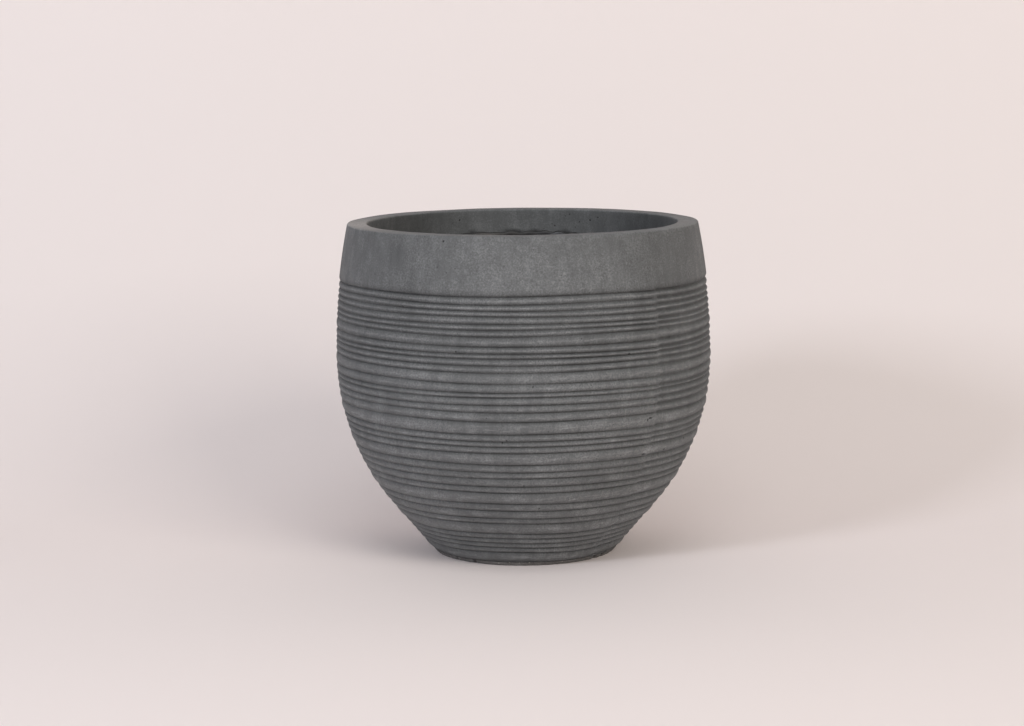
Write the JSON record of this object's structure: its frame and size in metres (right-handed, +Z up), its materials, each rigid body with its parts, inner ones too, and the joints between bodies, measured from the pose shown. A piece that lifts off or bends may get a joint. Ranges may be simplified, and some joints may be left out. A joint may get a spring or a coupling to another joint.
{
  "type": "ribbed planter",
  "caption": "Round floor planter of ribbed fibre cement with a plain band, a flat lip, a sealed inside and a plugged drain hole.",
  "frame": {"origin": "centre of the foot ring, on the floor that the planter stands on", "axes": "+Z up along the planter's axis of revolution, +X to the right and +Y to the back as pictured"},
  "size_m": [0.3996, 0.3994, 0.352],
  "materials": {
    "cement_face": "matte",
    "raw_cement": "rough",
    "lining_cement": "rough",
    "glass_mat": "matte",
    "bitumen": "satin",
    "sleeve_plastic": "matte",
    "plug_rubber": "matte"
  },
  "bodies": {
    "pot": {"ribbed_wall": "cement_face", "base_slab": "raw_cement", "fibre_mat_panel_1": "glass_mat", "fibre_mat_panel_2": "glass_mat", "fibre_mat_panel_3": "glass_mat", "fibre_mat_panel_4": "glass_mat", "fibre_mat_panel_5": "glass_mat", "fibre_mat_panel_6": "glass_mat", "fibre_mat_disc": "glass_mat", "inner_lining": "lining_cement", "sealing_coat": "bitumen", "drain_sleeve": "sleeve_plastic"},
    "plug": {"drain_plug": "plug_rubber"}
  },
  "joints": [
    {"name": "plug_lift", "type": "slide", "parent": "pot", "child": "plug", "axis": [0, 0, 1], "range_m": [0, 0.36]}
  ]
}
